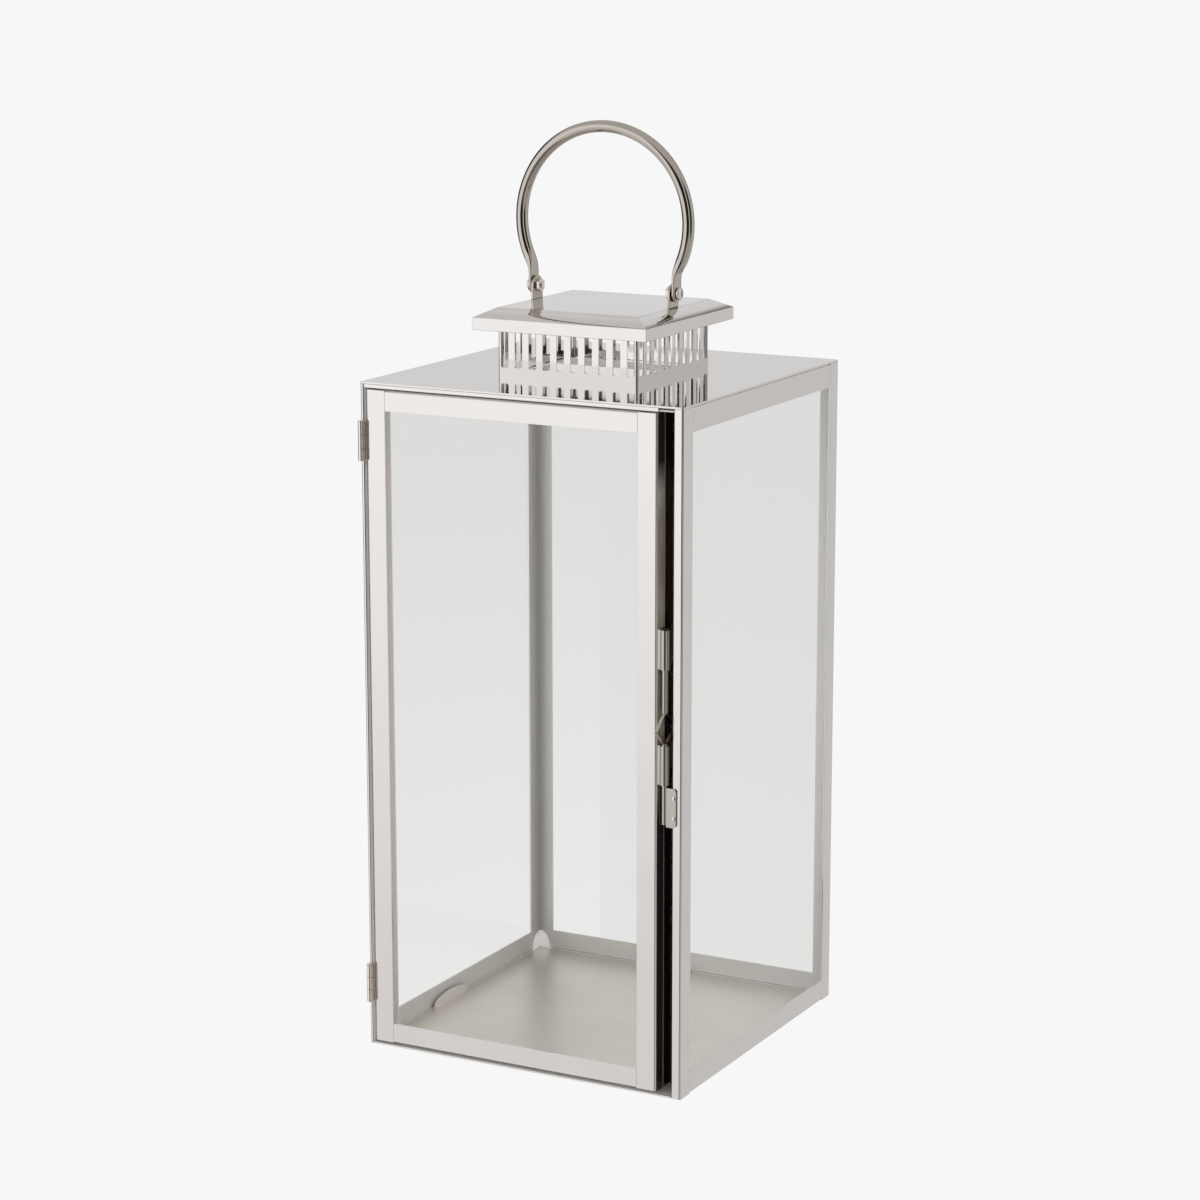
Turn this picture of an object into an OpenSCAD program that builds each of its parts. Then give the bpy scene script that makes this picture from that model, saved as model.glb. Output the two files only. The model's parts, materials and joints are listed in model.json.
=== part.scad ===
// Square candle lantern: polished sheet-steel frame, glass on four sides,
// hinged front door with a lifting latch bolt, slotted vent with a hipped cap,
// and a swinging ring handle.
// Origin: centre of the base on the surface it stands on. Door faces -Y, +Z up.

/* [Body] */
// Width and depth of the square body
body_w = 200; // [190:1:220]
// Height of the body from the base to the top of the roof
body_h = 385; // [370:1:420]
// Thickness of the folded sheet in the frame
sheet = 1; // [0.8:0.1:1.1]
// Outer radius of the folds in the sheet
bend_r = 1.3; // [1.2:0.1:1.4]
// Width of a post seen on a side of the body
post_flange = 11.5; // [10:0.5:14]
// Height of the top rails on the three fixed sides
top_rail_h = 13.5; // [11:0.5:16]
// Height of the base rails on the three fixed sides
base_rail_h = 12.5; // [10:0.5:15]
// Thickness of the glass panes
glass_t = 2; // [1.8:0.1:2]

/* [Door] */
// Width of the hinge post's front strip, left of the door
hinge_strip = 2.8; // [2.6:0.1:3]
// Width of the latch post's front strip, right of the door
latch_strip = 6; // [5:0.5:7]
// Width of the channel between the door and the latch post
latch_channel = 9.3; // [9:0.1:10]
// Gap between the door and the frame on the hinge side
door_gap = 1; // [0.9:0.1:1.1]
// Height of the door's lower edge above the base
door_bottom = 2.4; // [2.2:0.1:3]
// Depth of the door's folded edges
door_depth = 18; // [15:0.5:18.5]
// Width of the door's two upright members
stile_w = 12; // [10:0.5:14]
// Height of the door's two cross members
door_rail_h = 11.5; // [10:0.5:14]

/* [Vent] */
// Outer width of the slotted vent
vent_w = 88; // [86:1:92]
// Slots in each side of the vent
vent_slots = 10; // [8:1:10]
// Width of a vent slot
slot_w = 4.75; // [4:0.25:5]
// Width of the vent cap over its rim
cap_w = 109; // [106:1:112]
// Height of the upright rim of the cap
cap_rim_h = 7; // [6:0.5:8]
// Height of the cap's sloping border
cap_slope_h = 5.2; // [4:0.2:6]
// Width of the flat top of the cap
cap_top_w = 88; // [86:1:90]
// Height of the cap's lower edge above the roof
cap_lift = 26; // [24:0.5:28]

/* [Handle] */
// Diameter of the handle's tube
handle_tube_d = 6.8; // [6:0.2:7.2]
// Radius of the ring to the middle of the tube
handle_ring_r = 52.6; // [52:0.2:54]
// Height of the ring's centre above the pivots
handle_ring_rise = 38.2; // [37.8:0.2:39]
// Height of the pivots above the top of the cap
pivot_rise = 7.8; // [7.4:0.2:9]
// Diameter of the pivot screws
pivot_d = 4; // [3.6:0.2:4]

/* [Hinges and latch] */
// Height of a hinge, and of one barrel of the latch
barrel_h = 22; // [20:0.5:22.5]
// Height of the upper hinge's middle below the roof
hinge_top_drop = 33; // [28:1:40]
// Height of the lower hinge's middle above the base
hinge_low_rise = 37; // [30:1:44]
// Outer radius of a hinge knuckle
knuckle_r = 1.9; // [1.8:0.1:1.9]
// Radius of a hinge pin
hinge_pin_r = 1; // [0.9:0.05:1]
// Outer radius of a latch barrel
latch_barrel_r = 2.8; // [2.7:0.1:2.8]
// Radius of the latch bolt's rod
bolt_r = 1.85; // [1.7:0.05:1.85]
// Height of the keeper's lower edge above the base
keeper_z = 155; // [140:1:170]
// How far the bolt lifts
bolt_travel = 22.8; // [22.6:0.1:23]

/* [Hidden] */
$fn = 48;

half = body_w / 2;
overlap = 0.2;

// heights
roof_t = 1.2;
roof_under = body_h - roof_t;
header_strip = 2;
header_under = roof_under - header_strip;
door_top = header_under - door_gap;
cap_z = body_h + cap_lift;
cap_top_z = cap_z + cap_rim_h + cap_slope_h;
pivot_z = cap_top_z + pivot_rise;

// door opening across the front
hinge_jamb_x = -half + hinge_strip;
door_left = hinge_jamb_x + door_gap;
latch_jamb_x = half - latch_strip;
door_right = latch_jamb_x - latch_channel;
door_back = -half + door_depth;
stop_gap = 0.6;
stop_y = door_back + stop_gap;
stop_reach = 5;
floor_front = stop_y + sheet;

// glass
glass_play = 0.4;
glass_foot = bend_r + 0.1;
floor_t = 1.2;
floor_edge = half - sheet - glass_t - 0.2;
side_fold = half - floor_edge;
glass_head = roof_under - sheet - 0.8;
top_fold = latch_strip - sheet - 0.4;

// hinges
hinge_x = door_left - knuckle_r;
hinge_y = -half - knuckle_r - 0.35;
hinge_zs = [body_h - hinge_top_drop, hinge_low_rise];
leaf_t = 0.45;
leaf_depth = 14;
running = 0.06;
knuckle_gap = 0.2;
knuckle_len = (barrel_h - 2 * knuckle_gap) / 3;

// latch
latch_x = door_right + 4.2;
latch_y = -half - sheet + latch_barrel_r;
latch_bore_r = bolt_r + 0.08;
latch_step = 0.3;
low_barrel_z = keeper_z + barrel_h + 0.5 + latch_step;
grip_base_z = low_barrel_z + barrel_h + latch_step + 0.2;
grip_h = 18;
grip_front = 10.9;
grip_back = 13.4;
grip_wire = 1.9;
top_barrel_z = grip_base_z + grip_h + bolt_travel + 0.8;
keeper_mouth = 2 * bolt_r + 0.5;
latch_leaf_t = 1;
keeper_plate_end = half - 3;
rivet_x = keeper_plate_end - 1.4;
rivet_zs = [keeper_z + barrel_h / 2 - 5.6, keeper_z + barrel_h / 2 + 5.6];

// handle
ear_t = 1.6;
ear_out = cap_top_w / 2;
tab_in = ear_out + 0.3;
tab_t = 2;
tab_w = 9.5;
ring_z = pivot_z + handle_ring_rise;
ring_end = 24;

// ---------------------------------------------------------------- helpers

// Quarter of a bent sheet in the quadrant given by two signs
module bend2d(sx, sy) {
    intersection() {
        difference() {
            circle(r = bend_r);
            circle(r = bend_r - sheet);
        }
        translate([sx > 0 ? 0 : -bend_r, sy > 0 ? 0 : -bend_r])
            square(bend_r);
    }
}

// Folded angle section: outer corner at the origin, legs along +x and +y
module angle2d(leg_x, leg_y) {
    translate([bend_r, bend_r])
        bend2d(-1, -1);
    translate([bend_r, 0])
        square([leg_x - bend_r, sheet]);
    translate([0, bend_r])
        square([sheet, leg_y - bend_r]);
}

// Rectangle with round corners, centred
module round_rect2d(w, d, r) {
    square([w - 2 * r, d], center = true);
    square([w, d - 2 * r], center = true);
    for (x = [-1, 1], y = [-1, 1])
        translate([x * (w / 2 - r), y * (d / 2 - r)])
            circle(r = r);
}

// Rail on the right side: outer edge on the line x = half, legs inward and up
module side_rail(leg_in, leg_up, length) {
    translate([half, length / 2, 0])
        rotate([90, 0, 0])
            mirror([1, 0, 0])
                linear_extrude(height = length)
                    angle2d(leg_in, leg_up);
}

// Box given by its lowest and highest corners
module block(lo, hi) {
    translate(lo)
        cube(hi - lo);
}

// Cylinder between two heights on a vertical axis
module upright(x, y, z0, z1, r) {
    translate([x, y, z0])
        cylinder(r = r, h = z1 - z0);
}

// ---------------------------------------------------------------- base

side_len = body_w - 2 * post_flange;

module base_rail() {
    side_rail(side_fold, base_rail_h, side_len);
}

module base_rail_right() {
    color("silver") base_rail();
}

module base_rail_left() {
    color("silver") {
        front_y = -half + door_depth + 6;
        translate([-half, half - post_flange, 0])
            rotate([90, 0, 0])
                linear_extrude(height = half - post_flange - front_y)
                    angle2d(side_fold, base_rail_h);
    }
}

module base_rail_back() {
    color("silver")
        rotate([0, 0, 90])
            base_rail();
}

module front_sill() {
    upstand_h = 6;
    color("silver") {
        block([hinge_jamb_x, -half, 0], [latch_jamb_x, stop_y, sheet]);
        block([hinge_jamb_x + stop_reach, stop_y - overlap, 0],
              [door_right - 2, stop_y + sheet, upstand_h]);
    }
}

// Half-moon lug pressed up from the floor to hold the foot of a pane
module floor_lug() {
    lug_len = 40;
    lug_h = 6;
    lug_t = 0.8;
    lug_mid_y = -14;
    lug_r = (pow(lug_len / 2, 2) + pow(lug_h, 2)) / (2 * lug_h);
    translate([floor_edge - lug_t - 0.1, lug_mid_y, floor_t])
        rotate([90, 0, 90])
            linear_extrude(height = lug_t)
                intersection() {
                    translate([0, lug_h - lug_r])
                        circle(r = lug_r, $fn = 96);
                    translate([-lug_len / 2, -overlap])
                        square([lug_len, lug_h + overlap]);
                }
}

module floor_plate() {
    color("gainsboro") {
        block([-floor_edge, floor_front, 0], [floor_edge, floor_edge, floor_t]);
        floor_lug();
        mirror([1, 0, 0])
            floor_lug();
    }
}

module floor_rivet() {
    rivet_from_wall = 4.5;
    color("white")
        translate([8, half - rivet_from_wall - sheet, floor_t])
            intersection() {
                sphere(r = 1.8);
                cylinder(r = 2, h = 2);
            }
}

// Soft white pad folded into the back left corner
module corner_pad() {
    pad_t = 1.4;
    color("white")
        translate([-floor_edge, floor_edge, floor_t]) {
            rotate([90, 0, 0])
                linear_extrude(height = pad_t)
                    pad_side(7, 11);
            rotate([90, 0, -90])
                translate([0, 0, -pad_t])
                    linear_extrude(height = pad_t)
                        pad_side(9.5, 11);
        }
}

module pad_side(w, h) {
    intersection() {
        square([w, h]);
        circle(r = h);
    }
}

// ---------------------------------------------------------------- posts

// Latch post: side flange, front strip, return along the channel and door stop
module post_front_right() {
    color("silver")
        difference() {
            linear_extrude(height = roof_under)
                union() {
                    translate([half, -half])
                        mirror([1, 0])
                            angle2d(latch_strip - bend_r, post_flange);
                    translate([latch_jamb_x + bend_r, -half + bend_r])
                        bend2d(-1, -1);
                    translate([latch_jamb_x, -half + bend_r])
                        square([sheet, floor_front + half - bend_r]);
                    translate([door_right - 2, stop_y])
                        square([latch_channel + 2 + sheet, sheet]);
                }
            for (z = rivet_zs)
                translate([rivet_x, -half - 1, z])
                    rotate([-90, 0, 0])
                        cylinder(r = 0.8, h = 3);
        }
}

// Hinge post: deep side flange, narrow front strip, jamb and door stop
module post_front_left() {
    side_end = -half + door_depth + 6;
    color("silver")
        linear_extrude(height = roof_under)
            union() {
                translate([-half + bend_r, -half + bend_r])
                    bend2d(-1, -1);
                translate([-half, -half + bend_r])
                    square([sheet, side_end + half - bend_r]);
                translate([-half + bend_r, -half])
                    square([hinge_strip - 2 * bend_r, sheet]);
                translate([hinge_jamb_x - bend_r, -half + bend_r])
                    bend2d(1, -1);
                translate([hinge_jamb_x - sheet, -half + bend_r])
                    square([sheet, floor_front + half - bend_r]);
                translate([hinge_jamb_x - sheet, stop_y])
                    square([stop_reach + sheet, sheet]);
            }
}

module back_post() {
    translate([half, half, 0])
        rotate([0, 0, 180])
            linear_extrude(height = roof_under)
                angle2d(post_flange, post_flange);
}

module post_back_right() {
    color("silver") back_post();
}

module post_back_left() {
    color("silver")
        mirror([1, 0, 0])
            back_post();
}

// ---------------------------------------------------------------- top

module top_rail() {
    translate([0, 0, roof_under])
        mirror([0, 0, 1])
            side_rail(top_fold, top_rail_h, side_len);
}

module top_rail_right() {
    color("silver") top_rail();
}

module top_rail_left() {
    front_y = -half + door_depth + 6;
    color("silver")
        translate([-half, half - post_flange, roof_under])
            mirror([0, 0, 1])
                rotate([90, 0, 0])
                    linear_extrude(height = half - post_flange - front_y)
                        angle2d(top_fold, top_rail_h);
}

module top_rail_back() {
    color("silver")
        rotate([0, 0, 90])
            top_rail();
}

module front_header() {
    stop_drop = 5;
    color("silver") {
        block([hinge_jamb_x, -half, header_under], [door_right + 0.5, -half + sheet, roof_under]);
        block([hinge_jamb_x, -half + sheet - overlap, header_under],
              [latch_jamb_x, stop_y, header_under + sheet]);
        block([hinge_jamb_x + stop_reach, stop_y - overlap, header_under + sheet - stop_drop],
              [door_right - 2, stop_y + sheet, header_under + sheet]);
    }
}

module roof_plate() {
    hole_w = vent_w - 4;
    color("whitesmoke")
        translate([0, 0, roof_under])
            linear_extrude(height = roof_t)
                difference() {
                    round_rect2d(body_w, body_w, bend_r);
                    square(hole_w, center = true);
                }
}

// ---------------------------------------------------------------- glass

module glass_right() {
    inner = half - sheet - glass_t;
    color("lightcyan", 0.35)
        block([inner, -half + sheet + glass_play, glass_foot],
              [half - sheet, half - sheet - glass_t - glass_play, glass_head]);
}

module glass_left() {
    color("lightcyan", 0.35)
        block([-half + sheet, floor_front + glass_play, glass_foot],
              [-half + sheet + glass_t, half - sheet - glass_t - glass_play, glass_head]);
}

module glass_back() {
    edge = half - sheet - glass_play;
    color("lightcyan", 0.35)
        block([-edge, half - sheet - glass_t, glass_foot],
              [edge, half - sheet, glass_head]);
}

module door_glass() {
    color("lightcyan", 0.35)
        block([door_left + sheet + glass_play, -half + sheet, door_bottom + sheet + glass_play],
              [door_right - sheet - glass_play, -half + sheet + glass_t, door_top - sheet - glass_play]);
}

// ---------------------------------------------------------------- vent

vent_wall = 0.8;
vent_top = cap_top_z - 1.8;
slot_z = body_h + 4.5;
slot_top = cap_z + 1;

module slot_cutters() {
    pitch = vent_w / vent_slots;
    corner = 0.9;
    for (i = [0 : vent_slots - 1])
        translate([(i + 0.5) * pitch - vent_w / 2, 0, (slot_z + slot_top) / 2])
            rotate([90, 0, 0])
                linear_extrude(height = vent_w + 2, center = true)
                    round_rect2d(slot_w, slot_top - slot_z, corner);
}

module vent_grille() {
    lip_in = vent_w / 2 - 7;
    lip_out = cap_top_w / 2 - 0.6;
    color("silver") {
        difference() {
            translate([0, 0, body_h])
                linear_extrude(height = vent_top - body_h)
                    difference() {
                        round_rect2d(vent_w, vent_w, 1.5);
                        round_rect2d(vent_w - 2 * vent_wall, vent_w - 2 * vent_wall, 0.7);
                    }
            slot_cutters();
            rotate([0, 0, 90])
                slot_cutters();
        }
        difference() {
            union() {
                translate([0, 0, vent_top - vent_wall])
                    linear_extrude(height = vent_wall)
                        square(vent_w - vent_wall, center = true);
                translate([0, 0, vent_top - overlap])
                    linear_extrude(height = vent_wall + overlap)
                        square(2 * lip_out, center = true);
            }
            translate([0, 0, vent_top - 2])
                linear_extrude(height = 4)
                    square(2 * lip_in, center = true);
        }
    }
}

// Bar with the cap's outline as its section, grown inward by a margin
module cap_bar(inset) {
    run = (cap_w - cap_top_w) / 2;
    slope_drop = inset * (sqrt(run * run + cap_slope_h * cap_slope_h) - cap_slope_h) / run;
    rim = cap_w / 2 - inset;
    top = cap_top_w / 2 - inset * cap_slope_h / (run + sqrt(run * run + cap_slope_h * cap_slope_h));
    under = inset > 0 ? -1 : 0;
    z1 = cap_rim_h - slope_drop;
    z2 = cap_rim_h + cap_slope_h - inset;
    rotate([90, 0, 0])
        linear_extrude(height = cap_w + 2, center = true)
            polygon([[-rim, under], [rim, under], [rim, z1], [top, z2], [-top, z2], [-rim, z1]]);
}

module cap_solid(inset) {
    intersection() {
        cap_bar(inset);
        rotate([0, 0, 90])
            cap_bar(inset);
    }
}

module vent_cap() {
    color("whitesmoke")
        translate([0, 0, cap_z])
            difference() {
                cap_solid(0);
                cap_solid(1);
            }
}

// ---------------------------------------------------------------- handle fittings

// Upright ear welded on the cap, with the pivot hole
module handle_ear(side) {
    ear_w = 11;
    color("silver")
        translate([side * (ear_out - ear_t / 2), 0, 0])
            rotate([90, 0, 90])
                linear_extrude(height = ear_t, center = true)
                    difference() {
                        union() {
                            translate([-ear_w / 2, cap_top_z])
                                square([ear_w, pivot_rise]);
                            translate([0, pivot_z])
                                circle(r = ear_w / 2);
                        }
                        translate([0, pivot_z])
                            circle(r = pivot_d / 2);
                    }
}

module handle_ear_left() {
    handle_ear(-1);
}

module handle_ear_right() {
    handle_ear(1);
}

module pivot_screw(side) {
    head_x = tab_in + tab_t + 0.3;
    head_r = 3.5;
    head_h = 2;
    nut_end = 3.2;
    dome_r = (head_r * head_r + head_h * head_h) / (2 * head_h);
    color("silver")
        translate([0, 0, pivot_z])
            rotate([0, side * 90, 0]) {
                translate([0, 0, ear_out - ear_t - nut_end])
                    cylinder(r = pivot_d / 2, h = head_x - ear_out + ear_t + nut_end + overlap);
                translate([0, 0, head_x])
                    intersection() {
                        cylinder(r = head_r, h = head_h);
                        translate([0, 0, head_h - dome_r])
                            sphere(r = dome_r);
                    }
            }
}

module pivot_screw_left() {
    pivot_screw(-1);
}

module pivot_screw_right() {
    pivot_screw(1);
}

module pivot_nuts() {
    nut_t = 2.4;
    color("gray")
        for (side = [-1, 1])
            translate([side * (ear_out - ear_t - nut_t / 2), 0, pivot_z])
                rotate([0, 90, 0])
                    difference() {
                        cylinder(r = 3.9, h = nut_t, center = true, $fn = 6);
                        cylinder(r = pivot_d / 2, h = nut_t + 1, center = true);
                    }
}

// Flattened end of the handle's tube on the right, with its pivot hole and crimp
module handle_end() {
    tab_r = tab_w / 2;
    tab_tip = 1.6;
    crimp_len = 6.8;
    difference() {
        translate([tab_in + tab_t / 2, 0, pivot_z])
            rotate([90, 0, 90])
                linear_extrude(height = tab_t, center = true)
                    union() {
                        circle(r = tab_r);
                        polygon([[-tab_r, 0], [tab_r, 0], [tab_r, 5], [tab_tip, 13], [-tab_tip, 13], [-tab_r, 5]]);
                    }
        translate([tab_in - 1, 0, pivot_z])
            rotate([0, 90, 0])
                cylinder(r = pivot_d / 2 + running, h = tab_t + 2);
    }
    translate([0, 0, ring_z])
        rotate([0, ring_end, 0])
            translate([handle_ring_r, 0, 0]) {
                cylinder(d = handle_tube_d + 0.3, h = 1, center = true);
                translate([0, 0, -crimp_len])
                    cylinder(r1 = 1.1, r2 = handle_tube_d / 2 - 0.1, h = crimp_len);
            }
}

module handle() {
    color("silver") {
        translate([0, 0, ring_z])
            rotate([90, 0, 0])
                rotate([0, 0, -ring_end])
                    rotate_extrude(angle = 180 + 2 * ring_end)
                        translate([handle_ring_r, 0])
                            circle(d = handle_tube_d);
        handle_end();
        mirror([1, 0, 0])
            handle_end();
    }
}

// ---------------------------------------------------------------- hinges

// Leaf fixed to the hinge post, with the two outer knuckles
module hinge_post_leaf(zc) {
    leaf_x = hinge_jamb_x;
    lo = zc - barrel_h / 2;
    hi = zc + barrel_h / 2;
    color("rosybrown")
        difference() {
            union() {
                block([leaf_x, hinge_y + knuckle_r, lo],
                      [leaf_x + leaf_t, hinge_y + knuckle_r + leaf_depth, hi]);
                for (z0 = [lo, hi - knuckle_len]) {
                    upright(hinge_x, hinge_y, z0, z0 + knuckle_len, knuckle_r);
                    block([leaf_x, hinge_y, z0],
                          [leaf_x + leaf_t, hinge_y + knuckle_r + overlap, z0 + knuckle_len]);
                }
            }
            upright(hinge_x, hinge_y, lo - 1, hi + 1, hinge_pin_r);
        }
}

// Leaf fixed to the door, with the middle knuckle
module hinge_door_leaf(zc) {
    leaf_x = door_left - leaf_t;
    lo = zc - barrel_h / 2;
    hi = zc + barrel_h / 2;
    color("rosybrown")
        difference() {
            union() {
                block([leaf_x, hinge_y + knuckle_r + 0.2, lo],
                      [leaf_x + leaf_t, hinge_y + knuckle_r + leaf_depth, hi]);
                upright(hinge_x, hinge_y, zc - knuckle_len / 2, zc + knuckle_len / 2, knuckle_r);
                block([leaf_x, hinge_y, zc - knuckle_len / 2],
                      [leaf_x + leaf_t, hinge_y + knuckle_r + 2 * overlap, zc + knuckle_len / 2]);
            }
            upright(hinge_x, hinge_y, lo - 1, hi + 1, hinge_pin_r + running);
        }
}

module hinge_pin(zc) {
    head_h = 0.7;
    color("silver") {
        upright(hinge_x, hinge_y, zc - barrel_h / 2, zc + barrel_h / 2 + overlap, hinge_pin_r);
        upright(hinge_x, hinge_y, zc + barrel_h / 2, zc + barrel_h / 2 + head_h, knuckle_r - 0.3);
    }
}

module hinge_post_leaf_top() {
    hinge_post_leaf(hinge_zs[0]);
}

module hinge_post_leaf_low() {
    hinge_post_leaf(hinge_zs[1]);
}

module hinge_door_leaf_top() {
    hinge_door_leaf(hinge_zs[0]);
}

module hinge_door_leaf_low() {
    hinge_door_leaf(hinge_zs[1]);
}

module hinge_pin_top() {
    hinge_pin(hinge_zs[0]);
}

module hinge_pin_low() {
    hinge_pin(hinge_zs[1]);
}

// ---------------------------------------------------------------- door

door_span = door_top - door_bottom;

module door_stile_hinge() {
    color("silver")
        translate([door_left, -half, door_bottom])
            linear_extrude(height = door_span)
                angle2d(stile_w, door_depth);
}

module door_stile_latch() {
    color("silver")
        translate([door_right, -half, door_bottom])
            mirror([1, 0, 0])
                linear_extrude(height = door_span)
                    angle2d(stile_w, door_depth);
}

// Cross member: front strip between the stiles, folded edge right across
module door_rail() {
    x0 = door_left + stile_w;
    x1 = door_right - stile_w;
    translate([x0, -half, 0])
        rotate([90, 0, 90])
            linear_extrude(height = x1 - x0)
                angle2d(door_depth, door_rail_h);
    block([door_left + sheet, -half + bend_r, 0], [door_right - sheet, door_back, sheet]);
}

module door_rail_bottom() {
    color("silver")
        translate([0, 0, door_bottom])
            door_rail();
}

module door_rail_top() {
    color("silver")
        translate([0, 0, door_top])
            mirror([0, 0, 1])
                door_rail();
}

// ---------------------------------------------------------------- latch

// Barrel with a leaf on the door's folded edge
module latch_barrel(z0) {
    leaf_end = door_back - 0.6;
    color("silver")
        difference() {
            union() {
                upright(latch_x, latch_y, z0, z0 + barrel_h, latch_barrel_r);
                block([door_right, latch_y - 1.2, z0], [door_right + latch_leaf_t, leaf_end - 2, z0 + barrel_h]);
                block([door_right, leaf_end - 2 - overlap, z0 + 2],
                      [door_right + latch_leaf_t, leaf_end, z0 + barrel_h - 2]);
                for (z = [z0 + 2, z0 + barrel_h - 2])
                    translate([door_right, leaf_end - 2, z])
                        rotate([0, 90, 0])
                            cylinder(r = 2, h = latch_leaf_t);
                block([door_right, latch_y - 1.2, z0], [latch_x, latch_y + 1.2, z0 + barrel_h]);
            }
            upright(latch_x, latch_y, z0 - 1, z0 + barrel_h + 1, latch_bore_r);
        }
}

module latch_barrel_top() {
    latch_barrel(top_barrel_z);
}

module latch_barrel_low() {
    latch_barrel(low_barrel_z);
}

// Keeper on the latch post: a rolled clip, open to the front, and its plate
module latch_keeper() {
    hi = keeper_z + barrel_h;
    plate_in = latch_x + keeper_mouth / 2;
    corner = 2;
    color("silver")
        difference() {
            union() {
                upright(latch_x, latch_y, keeper_z, hi, latch_barrel_r);
                block([plate_in, -half - sheet, keeper_z],
                      [latch_x + latch_barrel_r, latch_y, hi]);
                block([plate_in, -half - sheet, keeper_z],
                      [keeper_plate_end - corner, -half, hi]);
                block([keeper_plate_end - corner - overlap, -half - sheet, keeper_z + corner],
                      [keeper_plate_end, -half, hi - corner]);
                for (z = [keeper_z + corner, hi - corner])
                    translate([keeper_plate_end - corner, -half, z])
                        rotate([90, 0, 0])
                            cylinder(r = corner, h = sheet);
            }
            upright(latch_x, latch_y, keeper_z - 1, hi + 1, latch_bore_r);
            block([latch_x - keeper_mouth / 2, latch_y - latch_barrel_r - 1, keeper_z - 1],
                  [plate_in, latch_y, hi + 1]);
            for (z = rivet_zs)
                translate([rivet_x, -half - sheet - 1, z])
                    rotate([-90, 0, 0])
                        cylinder(r = 0.8, h = sheet + 2);
        }
}

module keeper_rivets() {
    head_r = 1.4;
    head_h = 0.6;
    dome_r = (head_r * head_r + head_h * head_h) / (2 * head_h);
    color("silver")
        for (z = rivet_zs)
            translate([rivet_x, -half - sheet, z])
                rotate([90, 0, 0]) {
                    translate([0, 0, -2 * sheet])
                        cylinder(r = 0.8, h = 2 * sheet + 0.1);
                    intersection() {
                        cylinder(r = head_r, h = head_h);
                        translate([0, 0, head_h - dome_r])
                            sphere(r = dome_r);
                    }
                }
}

// Corners of the diamond grip's outline, grown by a margin
function grip_outline(grow) =
    let (rise = grip_h / 2,
         front_len = norm([grip_front, rise]),
         back_len = norm([grip_back, rise]),
         top = rise + grow * (front_len + back_len) / (grip_front + grip_back),
         top_y = grip_back + (grow * back_len - grip_back * top) / rise)
    [[-grip_front - grow * front_len / rise, 0], [top_y, top],
     [grip_back + grow * back_len / rise, 0], [top_y, -top]];

// Round rod with an open diamond grip between the barrels
module latch_bolt() {
    rod_low = keeper_z + 0.6;
    rod_high = top_barrel_z + barrel_h - 3;
    middle = grip_base_z + grip_h / 2;
    embed = 0.4;
    color("silver") {
        upright(latch_x, latch_y, rod_low, middle - grip_h / 2 + embed, bolt_r);
        upright(latch_x, latch_y, middle + grip_h / 2 - embed, rod_high, bolt_r);
        translate([latch_x, latch_y, middle])
            rotate([90, 0, 90])
                linear_extrude(height = grip_wire, center = true)
                    difference() {
                        polygon(grip_outline(grip_wire / 2));
                        polygon(grip_outline(-grip_wire / 2));
                    }
    }
}

// ---------------------------------------------------------------- assembly

floor_plate();
front_sill();
base_rail_left();
base_rail_right();
base_rail_back();
post_front_left();
post_front_right();
post_back_left();
post_back_right();
front_header();
top_rail_left();
top_rail_right();
top_rail_back();
roof_plate();
glass_left();
glass_right();
glass_back();
corner_pad();
floor_rivet();
vent_grille();
vent_cap();
handle_ear_left();
handle_ear_right();
pivot_screw_left();
pivot_screw_right();
pivot_nuts();
hinge_post_leaf_top();
hinge_post_leaf_low();
hinge_pin_top();
hinge_pin_low();
latch_keeper();
keeper_rivets();
door_stile_hinge();
door_stile_latch();
door_rail_top();
door_rail_bottom();
door_glass();
hinge_door_leaf_top();
hinge_door_leaf_low();
latch_barrel_top();
latch_barrel_low();
latch_bolt();
handle();
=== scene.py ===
"""Square candle lantern: folded polished steel, glass on four sides, hinged door,
lifting latch bolt, slotted vent with a hipped cap, and a ring handle.

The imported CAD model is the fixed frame; every piece here is made around it, in metres.
"""

import json
import math

import bmesh
import bpy
from bpy.props import FloatProperty, FloatVectorProperty, IntProperty, PointerProperty
from mathutils import Matrix, Vector

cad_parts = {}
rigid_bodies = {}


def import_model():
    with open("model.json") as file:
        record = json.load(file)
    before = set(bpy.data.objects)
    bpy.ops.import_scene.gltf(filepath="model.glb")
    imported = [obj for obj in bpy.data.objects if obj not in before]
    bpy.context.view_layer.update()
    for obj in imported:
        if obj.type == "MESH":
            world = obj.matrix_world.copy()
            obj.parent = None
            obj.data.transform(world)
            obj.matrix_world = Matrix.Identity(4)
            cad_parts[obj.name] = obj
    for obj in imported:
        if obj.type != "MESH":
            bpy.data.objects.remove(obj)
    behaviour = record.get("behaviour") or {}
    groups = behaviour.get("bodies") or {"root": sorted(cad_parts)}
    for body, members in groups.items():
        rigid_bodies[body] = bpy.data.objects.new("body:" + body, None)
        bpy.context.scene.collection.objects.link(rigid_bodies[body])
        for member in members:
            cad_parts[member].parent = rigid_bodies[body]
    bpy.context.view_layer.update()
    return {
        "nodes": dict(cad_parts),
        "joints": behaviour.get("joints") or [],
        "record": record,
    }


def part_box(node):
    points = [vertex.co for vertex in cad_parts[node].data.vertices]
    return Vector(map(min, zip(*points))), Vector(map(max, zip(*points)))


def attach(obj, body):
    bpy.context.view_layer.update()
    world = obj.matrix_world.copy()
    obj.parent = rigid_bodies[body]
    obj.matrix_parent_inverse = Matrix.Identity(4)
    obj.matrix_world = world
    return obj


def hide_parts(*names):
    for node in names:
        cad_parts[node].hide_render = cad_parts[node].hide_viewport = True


bl_info = {
    "name": "Candle Lantern",
    "version": (1, 0, 0),
    "blender": (4, 5, 0),
    "location": "3D View > Sidebar > Lantern",
    "description": "Builds a square steel and glass candle lantern on its CAD frame",
    "category": "Object",
}

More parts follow.
